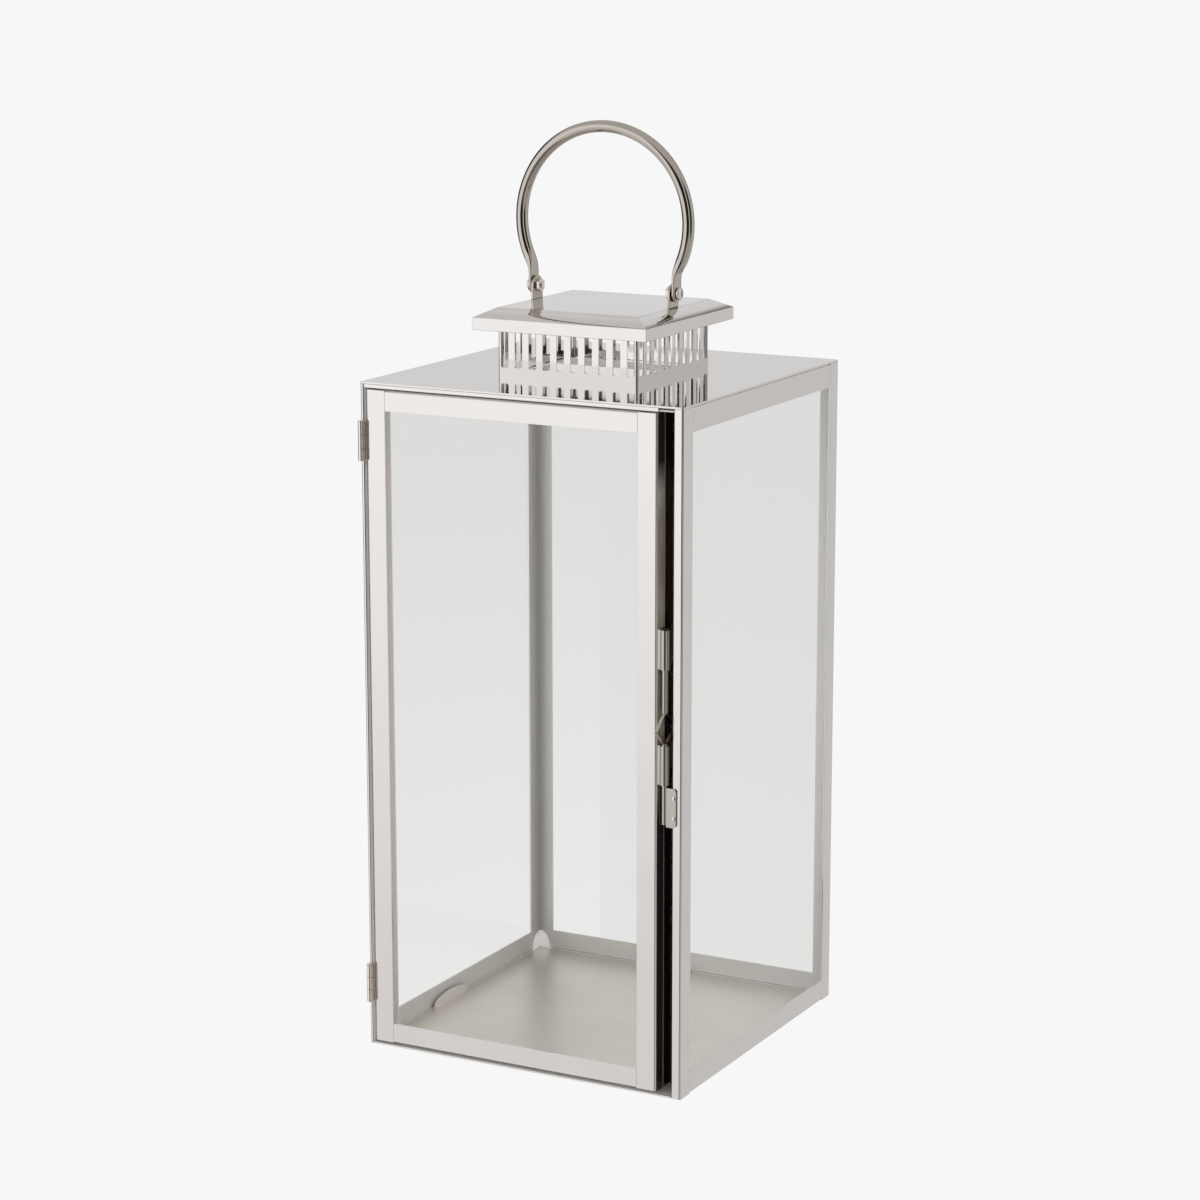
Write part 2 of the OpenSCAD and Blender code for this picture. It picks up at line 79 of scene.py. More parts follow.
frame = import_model()
RECORD = frame["record"]
SLOT_OF = {part["node"]: part["material_slot"] for part in RECORD["subparts"]}
BODY_OF = {
    node: body
    for body, nodes in RECORD["behaviour"]["bodies"].items()
    for node in nodes
}
JOINTS = {joint["name"]: joint for joint in frame["joints"]}
MM = 0.001


def cad_middle(node):
    low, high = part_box(node)
    return (low + high) / 2


# ------------------------------------------------------------------ sizes and colours


class LanternSizes(bpy.types.PropertyGroup):
    """Sizes of the details that are made here."""

    edge_round: FloatProperty(
        name="Edge rounding",
        description="How far the cut edges of the sheet are eased",
        default=0.16 * MM,
        unit="LENGTH",
    )
    tube_radius: FloatProperty(
        name="Handle tube radius",
        description="Outer radius of the round tube",
        default=3.4 * MM,
        unit="LENGTH",
    )
    slot_count: IntProperty(
        name="Vent slots", description="Slots in each side of the vent", default=10
    )
    slot_width: FloatProperty(
        name="Slot width",
        description="Width of one slot",
        default=4.75 * MM,
        unit="LENGTH",
    )
    vent_wall: FloatProperty(
        name="Vent sheet",
        description="Thickness of the vent's sheet",
        default=0.8 * MM,
        unit="LENGTH",
    )
    grip_wire: FloatProperty(
        name="Grip wire radius",
        description="Radius of the bolt's diamond wire",
        default=0.95 * MM,
        unit="LENGTH",
    )


class LanternColours(bpy.types.PropertyGroup):
    """Colours of the finishes."""

    steel: FloatVectorProperty(
        name="Polished steel",
        description="Reflectance of the sheet",
        default=(0.775, 0.745, 0.725),
        subtype="COLOR",
    )
    steel_shade: FloatVectorProperty(
        name="Polished steel, duller",
        description="Reflectance where it is duller",
        default=(0.725, 0.695, 0.675),
        subtype="COLOR",
    )
    tube: FloatVectorProperty(
        name="Tube steel",
        description="Reflectance of the handle and the latch",
        default=(0.53, 0.485, 0.44),
        subtype="COLOR",
    )
    satin: FloatVectorProperty(
        name="Satin steel",
        description="Reflectance of the floor sheet",
        default=(0.84, 0.80, 0.75),
        subtype="COLOR",
    )
    hardware: FloatVectorProperty(
        name="Hardware steel",
        description="Reflectance of hinges and nuts",
        default=(0.92, 0.84, 0.76),
        subtype="COLOR",
    )
    glass: FloatVectorProperty(
        name="Glass",
        description="Tint of the clear glass",
        default=(0.990, 0.992, 0.986),
        subtype="COLOR",
    )
    pad: FloatVectorProperty(
        name="Pad",
        description="Colour of the soft corner pad",
        default=(0.96, 0.95, 0.93),
        subtype="COLOR",
    )


def sizes():
    return bpy.context.scene.lantern_sizes


def colours():
    return bpy.context.scene.lantern_colours


# ------------------------------------------------------------------ shader maths


class Val:
    """A value in a node tree, which can be used in Python expressions."""

    def __init__(self, shade, socket):
        self.shade = shade
        self.socket = socket

    def _math(self, operation, a, b):
        return self.shade.add("ShaderNodeMath", {"operation": operation}, {0: a, 1: b})

    def __add__(self, other):
        return self._math("ADD", self, other)

    __radd__ = __add__

    def __mul__(self, other):
        return self._math("MULTIPLY", self, other)

    __rmul__ = __mul__

    def __sub__(self, other):
        return self._math("SUBTRACT", self, other)

    def __rsub__(self, other):
        return self._math("SUBTRACT", other, self)


class Shade:
    """A node tree under construction."""

    def __init__(self, tree):
        self.tree = tree
        tree.nodes.clear()

    def add(self, kind, settings=None, values=None, out=0):
        """Adds a node: its settings first, then the values or links of its sockets."""
        node = self.tree.nodes.new(kind)
        for key, value in (settings or {}).items():
            if key == "stops":
                self._stops(node.color_ramp, value)
            else:
                setattr(node, key, value)
        for key, value in (values or {}).items():
            if isinstance(value, Val):
                self.tree.links.new(value.socket, node.inputs[key])
            else:
                node.inputs[key].default_value = value
        return Val(self, node.outputs[out]) if node.outputs else node

    @staticmethod
    def _stops(ramp, stops):
        while len(ramp.elements) < len(stops):
            ramp.elements.new(0.5)
        for element, (place, level) in zip(ramp.elements, stops):
            element.position = place
            element.color = (*level, 1) if hasattr(level, "__len__") else (level, level, level, 1)

    def place(self):
        return self.add("ShaderNodeTexCoord", out="Object")

    def split(self, at):
        """X, Y and Z of a place or a direction."""
        parts = self.tree.nodes.new("ShaderNodeSeparateXYZ")
        self.tree.links.new(at.socket, parts.inputs[0])
        return [Val(self, out) for out in parts.outputs]

    def noise(self, at, scale, detail, rough, stretch=None):
        if stretch:
            at = self.add("ShaderNodeMapping", None, {"Vector": at, "Scale": stretch})
        return self.add(
            "ShaderNodeTexNoise",
            None,
            {"Vector": at, "Scale": scale, "Detail": detail, "Roughness": rough},
        )

    def ramp(self, value, low, high):
        """0 where value is at low, 1 where it is at high, and held beyond them."""
        return self.add("ShaderNodeMapRange", None, {"Value": value, 1: low, 2: high})

    @staticmethod
    def colour(value):
        return value if isinstance(value, Val) else (*value, 1)

    def blend(self, factor, a, b):
        """Colour a where factor is 0, b where it is 1."""
        return self.add(
            "ShaderNodeMix",
            {"data_type": "RGBA"},
            {0: factor, 6: self.colour(a), 7: self.colour(b)},
            out=2,
        )


FINISHES = {}


def finish(name):
    """The material of that name, made the first time it is asked for."""
    if name not in FINISHES:
        material = bpy.data.materials.new(name)
        material.use_nodes = True
        FINISHES[name] = material
        MAKERS[name](Shade(material.node_tree))
    return FINISHES[name]


def end_surface(s, surface):
    s.add("ShaderNodeOutputMaterial", None, {"Surface": surface})


def darker(tint, share):
    return [c * share for c in tint]


def between(s, value, low, high):
    """1 where value lies between low and high, else 0."""
    over = s.add("ShaderNodeMath", {"operation": "GREATER_THAN"}, {0: value, 1: low})
    under = s.add("ShaderNodeMath", {"operation": "LESS_THAN"}, {0: value, 1: high})
    return over * under


def band(s, value, low, high, soft):
    """1 where value lies between low and high, 0 elsewhere, with soft shoulders."""
    rise = s.ramp(value, low - soft, low + soft)
    fall = s.ramp(value, high - soft, high + soft)
    return rise * (1 - fall)


# the channel between the door and the latch post, and the heights where its wall is lit
CHANNEL_LEFT, CHANNEL_RIGHT = 84.3 * MM, 94.4 * MM
CHANNEL_FOOT, CHANNEL_HEAD = 1.0 * MM, 382.5 * MM
# front and back of the channel, and where its painted dark depth begins; the painted highlight line
# lies just in front of that
CHANNEL_FRONT, CHANNEL_DARK, CHANNEL_BACK = -99.2 * MM, -90.5 * MM, -80.0 * MM
CHANNEL_HIGHLIGHT_LINE = -91.6 * MM
CHANNEL_LIT = (166 * MM, 346 * MM)
# how far the inner side of the body's sheet reaches
INNER_REACH = 99.4 * MM
INNER_TOP = 383.0 * MM


def sheet_zones(s, at):
    """Masks: the dull inner side of the sheet, and the parts of the channel by the door, where light
    and shade are painted: the whole channel, its dark depth, its highlight line and its lit heights.
    """
    x, y, z = s.split(at)
    beside = between(s, x, CHANNEL_LEFT, CHANNEL_RIGHT) * between(s, z, CHANNEL_FOOT, CHANNEL_HEAD)
    channel = beside * between(s, y, CHANNEL_FRONT, CHANNEL_BACK)
    # where the channel's depth is painted dark, as painted shade
    depth = beside * between(s, y, CHANNEL_DARK, CHANNEL_BACK)
    # the strip where a highlight line is painted along the channel
    highlight_line = beside * between(s, y, CHANNEL_HIGHLIGHT_LINE, CHANNEL_DARK)
    inner = (
        between(s, x, -INNER_REACH, INNER_REACH)
        * between(s, y, -INNER_REACH, INNER_REACH)
        * between(s, z, -1.0 * MM, INNER_TOP)
        * (1 - channel)
    )
    lit = band(s, z, *CHANNEL_LIT, 9 * MM)
    return inner, channel, depth, highlight_line, lit


# the channel's colours, all painted light and shade: its wall where it is lit, its shade, the
# highlight line along it, its shaded depth
WALL_LIT, WALL_SHADED = (1.0, 0.93, 0.82), (0.62, 0.52, 0.43)
CHANNEL_SHADE, CHANNEL_EDGE_HIGHLIGHT = (0.06, 0.05, 0.045), (0.97, 0.90, 0.82)
CHANNEL_DEPTH_SHADE = (0.10, 0.092, 0.086)
# the inner side of the sheet: pale, rougher and hardly a mirror
INNER_SIDE = (1.0, 0.975, 0.955)
INNER_ROUGHER, INNER_MATT, CHANNEL_MATT = 0.34, 0.92, 0.8


def metal(s, bright, dull, rough, wave, grain, sheet=True):
    """Metal: cloudy polish, a slow waviness and fine rubbing marks.

    Folded sheet is also duller inside the body, and in the channel by the door light and shade are
    painted into its colour.
    """
    at = s.place()
    cloud = s.noise(at, scale=38.0, detail=4.0, rough=0.6)
    slow = s.noise(at, scale=11.0, detail=1.5, rough=0.4)
    rub = s.noise(at, scale=900.0, detail=3.0, rough=0.6, stretch=grain)
    height = slow * wave + rub * (wave * 0.004)
    colour = s.blend(cloud, bright, dull)
    roughness = rough[0] + cloud * (rough[1] - rough[0]) + rub * (0.3 * rough[0])
    metallic = 1.0
    if sheet:
        inner, channel, depth, highlight_line, lit = sheet_zones(s, at)
        light_and_shade_streak = s.noise(at, scale=60.0, detail=2.0, rough=0.6, stretch=(1, 1, 0.25))
        # the channel's wall: painted light and painted shade in streaks
        wall = s.blend(s.ramp(light_and_shade_streak, 0.40, 0.60), WALL_LIT, WALL_SHADED)
        colour = s.blend(inner, colour, INNER_SIDE)
        # painted shade over the channel, and painted light where its wall is lit
        colour = s.blend(channel, colour, s.blend(lit, CHANNEL_SHADE, wall))
        # painted highlight line along the channel
        colour = s.blend(highlight_line, colour, CHANNEL_EDGE_HIGHLIGHT)
        # painted shade deep in the channel
        colour = s.blend(depth, colour, CHANNEL_DEPTH_SHADE)
        roughness = roughness + inner * INNER_ROUGHER
        metallic = 1 - inner * INNER_MATT - (channel - depth) * CHANNEL_MATT
    surface = {
        "Metallic": metallic,
        "Base Color": colour,
        "Roughness": roughness,
        "Normal": s.add(
            "ShaderNodeBump", None, {"Strength": 1.0, "Distance": 1.0, "Height": height}
        ),
    }
    end_surface(s, s.add("ShaderNodeBsdfPrincipled", None, surface))


def make_polished(s):
    """Folded sheet of the body and the door."""
    look = {"rough": (0.03, 0.085), "wave": 0.06 * MM, "grain": (1, 1, 0.03)}
    metal(s, colours().steel, colours().steel_shade, **look)


def make_tube(s):
    """Darker polish of the handle, its ears and the latch."""
    tint = colours().tube
    look = {"rough": (0.03, 0.07), "wave": 0.03 * MM, "grain": (1, 1, 0.03)}
    metal(s, tint, darker(tint, 0.92), **look, sheet=False)


def make_satin(s):
    """Floor sheet: rolled grain along its depth, cloudy and duller than the frame."""
    at = s.place()
    cloud = s.noise(at, scale=26.0, detail=5.0, rough=0.65)
    grain = s.noise(at, scale=700.0, detail=2.0, rough=0.5, stretch=(1, 0.04, 1))
    tint = colours().satin
    bump = s.add("ShaderNodeBump", None, {"Strength": 0.5, "Distance": 0.04 * MM, "Height": grain})
    end_surface(
        s,
        s.add(
            "ShaderNodeBsdfPrincipled",
            None,
            {
                "Metallic": 1.0,
                "Base Color": s.blend(cloud, tint, darker(tint, 0.86)),
                "Roughness": 0.30 + cloud * 0.16,
                "Normal": bump,
            },
        ),
    )


def make_hardware(s):
    """Satin steel of the hinges and nuts."""
    tint = colours().hardware
    look = {"rough": (0.20, 0.28), "wave": 0.06 * MM, "grain": (1, 1, 0.05)}
    metal(s, tint, darker(tint, 0.86), **look)


def make_glass(s):
    """Clear thin glass with faint reflections, which lets light through in shadows."""
    at = s.place()
    smear = s.noise(at, scale=14.0, detail=3.0, rough=0.6)
    pane = s.add(
        "ShaderNodeBsdfPrincipled",
        None,
        {
            "Base Color": (*colours().glass, 1),
            "Roughness": smear * 0.012,
            "IOR": 1.14,
            "Transmission Weight": 1.0,
        },
    )
    open_way = s.add("ShaderNodeBsdfTransparent", None, {"Color": (0.94, 0.94, 0.935, 1)})
    shadow = s.add("ShaderNodeLightPath", out="Is Shadow Ray")
    end_surface(s, s.add("ShaderNodeMixShader", None, {0: shadow, 1: pane, 2: open_way}))


def make_pad(s):
    """Soft white pad, with a faint glow that keeps it white in its dim corner."""
    at = s.place()
    speckle = s.noise(at, scale=420.0, detail=4.0, rough=0.6)
    tint = colours().pad
    bump = s.add("ShaderNodeBump", None, {"Strength": 0.6, "Distance": 0.2 * MM, "Height": speckle})
    end_surface(
        s,
        s.add(
            "ShaderNodeBsdfPrincipled",
            None,
            {
                "Base Color": s.blend(speckle, tint, darker(tint, 0.84)),
                "Roughness": 0.55 + speckle * 0.2,
                "Emission Color": (*tint, 1),
                "Emission Strength": 0.22,
                "Normal": bump,
            },
        ),
    )


MAKERS = {
    "polished_steel": make_polished,
    "tube_steel": make_tube,
    "satin_steel": make_satin,
    "hardware_steel": make_hardware,
    "glass": make_glass,
    "white_pad": make_pad,
}


# ------------------------------------------------------------------ mesh helpers


def new_piece(name, mesh, nodes, finish_name=None):
    """Links a finished mesh as a piece that stands for the named CAD nodes."""
    piece = bpy.data.objects.new(name, mesh)
    bpy.context.scene.collection.objects.link(piece)
    slot = SLOT_OF[nodes[0]]
    mesh.materials.clear()
    mesh.materials.append(finish(finish_name or slot))
    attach(piece, BODY_OF[nodes[0]])
    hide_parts(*nodes)
    return piece


def smooth_by_angle(mesh, angle=math.radians(32)):
    for polygon in mesh.polygons:
        polygon.use_smooth = True
    mesh.set_sharp_from_angle(angle=angle)
    weigh_normals(mesh)


def weigh_normals(mesh):
    """Lets broad flat faces keep their own direction beside rounded edges.

    A corner takes the direction of the faces that meet there with no sharp edge between
    them, each by its area.
    """
    mesh.update()
    sharp = mesh.attributes.get("sharp_edge")
    edge_sharp = [False] * len(mesh.edges)
    if sharp:
        sharp.data.foreach_get("value", edge_sharp)
    normals = [Vector((0, 0, 1))] * len(mesh.loops)
    edge_faces = [[] for _ in mesh.edges]
    for polygon in mesh.polygons:
        for loop in polygon.loop_indices:
            edge_faces[mesh.loops[loop].edge_index].append(polygon.index)
    corners = [{} for _ in mesh.vertices]
    for polygon in mesh.polygons:
        for loop in polygon.loop_indices:
            corners[mesh.loops[loop].vertex_index][polygon.index] = loop
    vertex_edges = [[] for _ in mesh.vertices]
    for edge in mesh.edges:
        for v in edge.vertices:
            vertex_edges[v].append(edge.index)
    areas = [polygon.area for polygon in mesh.polygons]
    for v, faces in enumerate(corners):
        left = set(faces)
        while left:
            fan, queue = set(), [left.pop()]
            while queue:
                face = queue.pop()
                fan.add(face)
                for e in vertex_edges[v]:
                    if edge_sharp[e] or face not in edge_faces[e]:
                        continue
                    for other in edge_faces[e]:
                        if other in left:
                            left.discard(other)
                            queue.append(other)
            total = Vector((0, 0, 0))
            for face in fan:
                total += mesh.polygons[face].normal * areas[face]
            if total.length > 0:
                total.normalize()
            for face in fan:
                normals[faces[face]] = total
    mesh.normals_split_custom_set(normals)


def ease_edges(mesh, width, segments=2):
    """Rounds the sharp edges of a closed mesh a little."""
    bm = bmesh.new()
    bm.from_mesh(mesh)
    sharp = [e for e in bm.edges if e.is_manifold and e.calc_face_angle(0) > math.radians(35)]
    bmesh.ops.bevel(
        bm,
        geom=sharp,
        offset=width,
        offset_type="OFFSET",
        segments=segments,
        profile=0.5,
        affect="EDGES",
        clamp_overlap=False,
        harden_normals=False,
    )
    bm.to_mesh(mesh)
    bm.free()


def merged_copy(node):
    """A copy of a CAD node's mesh with its doubles merged and its flat faces whole."""
    mesh = frame["nodes"][node].data.copy()
    bm = bmesh.new()
    bm.from_mesh(mesh)
    bmesh.ops.remove_doubles(bm, verts=bm.verts, dist=0.002 * MM)
    bmesh.ops.dissolve_limit(
        bm, angle_limit=math.radians(0.4), verts=bm.verts, edges=bm.edges, delimit=set()
    )
    bm.to_mesh(mesh)
    bm.free()
    return mesh


def eased_piece(node, width=None, finish_name=None):
    """A CAD node with eased edges, as a piece of its own."""
    mesh = merged_copy(node)
    mesh.name = node + "_sheet"
    ease_edges(mesh, sizes().edge_round if width is None else width)
    smooth_by_angle(mesh)
    return new_piece(node + "_sheet", mesh, [node], finish_name)


def mesh_from(name, vertices, faces):
    mesh = bpy.data.meshes.new(name)
    mesh.from_pydata([tuple(v) for v in vertices], [], faces)
    mesh.update()
    return mesh


def outward(mesh):
    bm = bmesh.new()
    bm.from_mesh(mesh)
    bmesh.ops.remove_doubles(bm, verts=bm.verts, dist=0.001 * MM)
    bmesh.ops.recalc_face_normals(bm, faces=bm.faces)
    bm.to_mesh(mesh)
    bm.free()


def join_meshes(name, meshes):
    """One mesh out of several."""
    bm = bmesh.new()
    for mesh in meshes:
        bm.from_mesh(mesh)
        bpy.data.meshes.remove(mesh)
    whole = bpy.data.meshes.new(name)
    bm.to_mesh(whole)
    bm.free()
    return whole


def box_mesh(name, low, high, ease):
    """A box between two corners with eased edges."""
    mesh = bpy.data.meshes.new(name)
    bm = bmesh.new()
    bmesh.ops.create_cube(bm, size=1.0)
    span = high - low
    for v in bm.verts:
        v.co = (low + high) / 2 + Vector((v.co.x * span.x, v.co.y * span.y, v.co.z * span.z))
    bm.to_mesh(mesh)
    bm.free()
    ease_edges(mesh, ease, segments=1)
    return mesh


def rings_mesh(name, rings, closed_loop=False):
    """Skins rings of points; the ends are capped unless the path is a loop."""
    count = len(rings[0])
    points = [p for ring in rings for p in ring]
    faces = []
    last = len(rings) if closed_loop else len(rings) - 1
    for i in range(last):
        a, b = i * count, ((i + 1) % len(rings)) * count
        for j in range(count):
            k = (j + 1) % count
            faces.append((a + j, a + k, b + k, b + j))
    if not closed_loop:
        faces.append(tuple(range(count - 1, -1, -1)))
        faces.append(tuple(range((len(rings) - 1) * count, len(rings) * count)))
    mesh = mesh_from(name, points, faces)
    outward(mesh)
    return mesh


def turned(name, profile, centre, axis):
    """Turns a profile of (radius, height) pairs about an axis through a point."""
    turn = Vector((0, 0, 1)).rotation_difference(Vector(axis).normalized()).to_matrix()
    steps = 40
    rings = []
    for radius, height in profile:
        radius = max(radius, 1e-6)
        ring = []
        for k in range(steps):
            angle = math.tau * k / steps
            spot = Vector((radius * math.cos(angle), radius * math.sin(angle), height))
            ring.append(Vector(centre) + turn @ spot)
        rings.append(ring)
    return rings_mesh(name, rings)


# ------------------------------------------------------------------ geometry node helpers


class Grower:
    """A geometry node tree under construction, with named inputs."""

    def __init__(self, name):
        self.tree = bpy.data.node_groups.new(name, "GeometryNodeTree")
        self._socket("Geometry", "OUTPUT", "Geometry")
        self.entry = self.tree.nodes.new("NodeGroupInput")
        self.ids = {}

    def _socket(self, name, way, kind):
        kind = "NodeSocket" + kind
        return self.tree.interface.new_socket(name=name, in_out=way, socket_type=kind)

    def input(self, name, kind, value):
        item = self._socket(name, "INPUT", kind)
        self.ids[name] = (item.identifier, value)
        return self.entry.outputs[name]

    def add(self, kind, settings=None, values=None, out=0):
        """Adds a node: its settings first, then the values or links of its sockets."""
        node = self.tree.nodes.new(kind)
        for key, value in (settings or {}).items():
            setattr(node, key, value)
        for key, value in (values or {}).items():
            many = value if isinstance(value, list) else [value]
            if isinstance(many[0], bpy.types.NodeSocket):
                for one in many:
                    self.tree.links.new(one, node.inputs[key])
            else:
                node.inputs[key].default_value = value
        return node.outputs[out]

    def maths(self, operation, a, b):
        return self.add("ShaderNodeMath", {"operation": operation}, {0: a, 1: b})

    def minus(self, a, b):
        return self.maths("SUBTRACT", a, b)

    def times(self, a, b):
        return self.maths("MULTIPLY", a, b)

    def vector(self, **parts):
        return self.add("ShaderNodeCombineXYZ", None, parts)

    def rectangle(self, width, height):
        values = {"Width": width, "Height": height}
        return self.add("GeometryNodeCurvePrimitiveQuadrilateral", None, values)

    def join(self, parts):
        return self.add("GeometryNodeJoinGeometry", None, {"Geometry": parts})

    def move(self, geometry, **change):
        """Moves, turns or scales: Translation, Rotation, Scale."""
        return self.add("GeometryNodeTransform", None, {"Geometry": geometry, **change})

    def repeat(self, geometry, count, start, step):
        """Puts copies in a row."""
        values = {"Count": count, "Start Location": start, "Offset": step}
        row = self.add("GeometryNodeMeshLine", {"mode": "OFFSET"}, values)
        values = {"Points": row, "Instance": geometry}
        return self.add("GeometryNodeInstanceOnPoints", None, values)

    def finish(self, geometry, material):
        whole = self.add("GeometryNodeRealizeInstances", None, {"Geometry": geometry})
        seen = self.add("GeometryNodeSetMaterial", None, {"Geometry": whole, "Material": material})
        end = self.tree.nodes.new("NodeGroupOutput")
        self.tree.links.new(seen, end.inputs["Geometry"])

    def grow(self, name):
        """Runs the tree on an empty object and returns the mesh it makes."""
        holder = bpy.data.objects.new(name, bpy.data.meshes.new(name))
        bpy.context.scene.collection.objects.link(holder)
        modifier = holder.modifiers.new("grow", "NODES")
        modifier.node_group = self.tree
        for identifier, value in self.ids.values():
            modifier[identifier] = value
        graph = bpy.context.evaluated_depsgraph_get()
        graph.update()
        mesh = bpy.data.meshes.new_from_object(holder.evaluated_get(graph), depsgraph=graph)
        bpy.data.objects.remove(holder)
        mesh.name = name
        return mesh


def slab(g, outline, depth):
    """Fills a flat outline and gives it a depth along +Z."""
    flat = g.add("GeometryNodeFillCurve", {"mode": "NGONS"}, {"Curve": outline})
    values = {"Mesh": flat, "Offset Scale": depth, "Individual": False}
    raised = g.add("GeometryNodeExtrudeMesh", None, values)
    under = g.add("GeometryNodeFlipFaces", None, {"Mesh": flat})
    values = {"Geometry": g.join([raised, under]), "Distance": 0.005 * MM}
    return g.add("GeometryNodeMergeByDistance", None, values)


# ------------------------------------------------------------------ pieces


class PieceOperator:
    bl_options = {"REGISTER", "UNDO"}


class LANTERN_OT_frame(PieceOperator, bpy.types.Operator):
    """Posts, rails, header and sill of the body"""

    bl_idname = "lantern.frame"
    bl_label = "Frame"

    def execute(self, context):
        for node in (
            "post_front_left",
            "post_front_right",
            "post_back_left",
            "post_back_right",
            "base_rail_left",
            "base_rail_right",
            "base_rail_back",
            "top_rail_left",
            "top_rail_right",
            "top_rail_back",
            "front_header",
            "front_sill",
        ):
            eased_piece(node)
        return {"FINISHED"}


class LANTERN_OT_roof(PieceOperator, bpy.types.Operator):
    """Roof plate and the hipped cap of the vent"""

    bl_idname = "lantern.roof"
    bl_label = "Roof and cap"

    def execute(self, context):
        eased_piece("roof_plate", 0.25 * MM)
        eased_piece("vent_cap", 0.3 * MM)
        return {"FINISHED"}


class LANTERN_OT_floor(PieceOperator, bpy.types.Operator):
    """Floor sheet with its lugs, and the rivet head at the back"""

    bl_idname = "lantern.floor"
    bl_label = "Floor"

    def execute(self, context):
        self.sheet()
        low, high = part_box("floor_rivet")
        radius, rise = (high.x - low.x) / 2, high.z - low.z
        turns = [t * math.pi / 16 for t in range(9)]
        dome = [(radius * math.cos(a), rise * math.sin(a)) for a in turns]
        centre = ((low.x + high.x) / 2, (low.y + high.y) / 2, low.z)
        mesh = turned("floor_rivet_head", [(0, 0)] + dome, centre, (0, 0, 1))
        smooth_by_angle(mesh)
        new_piece("floor_rivet_head", mesh, ["floor_rivet"])
        return {"FINISHED"}

    def sheet(self):
        """The flat sheet, and at each side a lug pressed up out of it."""
        low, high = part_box("floor_plate")
        thick = 1.2 * MM
        top = Vector((high.x, high.y, low.z + thick))
        parts = [box_mesh("floor_sheet", low, top, 0.15 * MM)]
        for side in (-1, 1):
            parts.append(self.lug(side, high.x - 0.1 * MM, low.z + thick * 0.5, thick * 0.5))
        mesh = join_meshes("floor_sheet", parts)
        smooth_by_angle(mesh, math.radians(40))
        new_piece("floor_sheet", mesh, ["floor_plate"])

    def lug(self, side, reach, foot, sunk):
        """A half-moon lug that leans outwards against the side rail."""
        middle_y, half_length, height, lean_most = -14 * MM, 20 * MM, 5.9 * MM, 1.7 * MM
        wall = 0.8 * MM
        outer = ((0, 0), (0.25, 0.45), (0.7, 0.8), (1, 1))
        inner = ((1, 1), (0.7, 0.78), (0.25, 0.4), (0, 0))
        steps = 32
        rings = []
        for k in range(steps + 1):
            t = 2 * k / steps - 1
            crown = max(1 - t * t, 0.0) ** 0.5
            rise = height * crown**0.8 + sunk
            lean = lean_most * crown
            ring = []
            for inset, curve in ((0, outer), (wall, inner)):
                for u, h in curve:
                    x = side * (reach - inset - lean * (1 - u))
                    ring.append(Vector((x, middle_y + half_length * t, foot + rise * h)))
            rings.append(ring)
        return rings_mesh("lug", rings)


class LANTERN_OT_pad(PieceOperator, bpy.types.Operator):
    """Soft white pad folded into the back left corner"""

    bl_idname = "lantern.pad"
    bl_label = "Corner pad"

    def execute(self, context):
        low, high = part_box("corner_pad")
        across, deep, tall = high.x - low.x, high.y - low.y, high.z - low.z
        columns, rows, thick, lift = 28, 14, 1.1 * MM, 0.2 * MM
        fold_out, fold_width = 0.9 * MM, 2.2 * MM
        front, back = [], []
        for i in range(columns + 1):
            s = -deep + (deep + across) * i / columns
            reach = (deep if s < 0 else across) * 1.001
            crown = tall * math.sqrt(max(0.0, 1 - (s / reach) ** 2)) ** 0.8
            fold = fold_out * math.exp(-((s / fold_width) ** 2))
            ends = math.sqrt(max(0.0, 1 - abs(s / reach) ** 6))
            for j in range(rows + 1):
                t = j / rows
                swell = math.sqrt(max(0.0, 1 - (2 * t - 1) ** 4)) * ends
                z = low.z + lift + crown * t * 0.98
                for side, layer in ((1, front), (0, back)):
                    off = lift + side * (thick * swell + fold * swell)
                    if s < 0:
                        layer.append(Vector((low.x + off, high.y + s - fold, z)))
                    else:
                        layer.append(Vector((low.x + s + fold, high.y - off, z)))
        count = len(front)
        faces = []
        for i in range(columns):
            for j in range(rows):
                a = i * (rows + 1) + j
                quad = (a, a + rows + 1, a + rows + 2, a + 1)
                faces.append(quad)
                faces.append(tuple(count + k for k in reversed(quad)))
        rim = list(range(rows + 1))
        rim += [i * (rows + 1) + rows for i in range(1, columns + 1)]
        rim += [columns * (rows + 1) + j for j in range(rows - 1, -1, -1)]
        rim += [i * (rows + 1) for i in range(columns - 1, 0, -1)]
        for a, b in zip(rim, rim[1:] + rim[:1]):
            faces.append((a, b, count + b, count + a))
        mesh = mesh_from("corner_pad_soft", front + back, faces)
        outward(mesh)
        smooth_by_angle(mesh, math.radians(70))
        new_piece("corner_pad_soft", mesh, ["corner_pad"])
        return {"FINISHED"}


class LANTERN_OT_panes(PieceOperator, bpy.types.Operator):
    """Glass panes of the three fixed sides and of the door"""

    bl_idname = "lantern.panes"
    bl_label = "Glass panes"

    def execute(self, context):
        for node in ("glass_left", "glass_right", "glass_back", "door_glass"):
            low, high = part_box(node)
            play = Vector((0.12, 0.12, 0.12)) * MM
            mesh = box_mesh(node + "_pane", low + play, high - play, 0.25 * MM)
            new_piece(node + "_pane", mesh, [node])
        return {"FINISHED"}


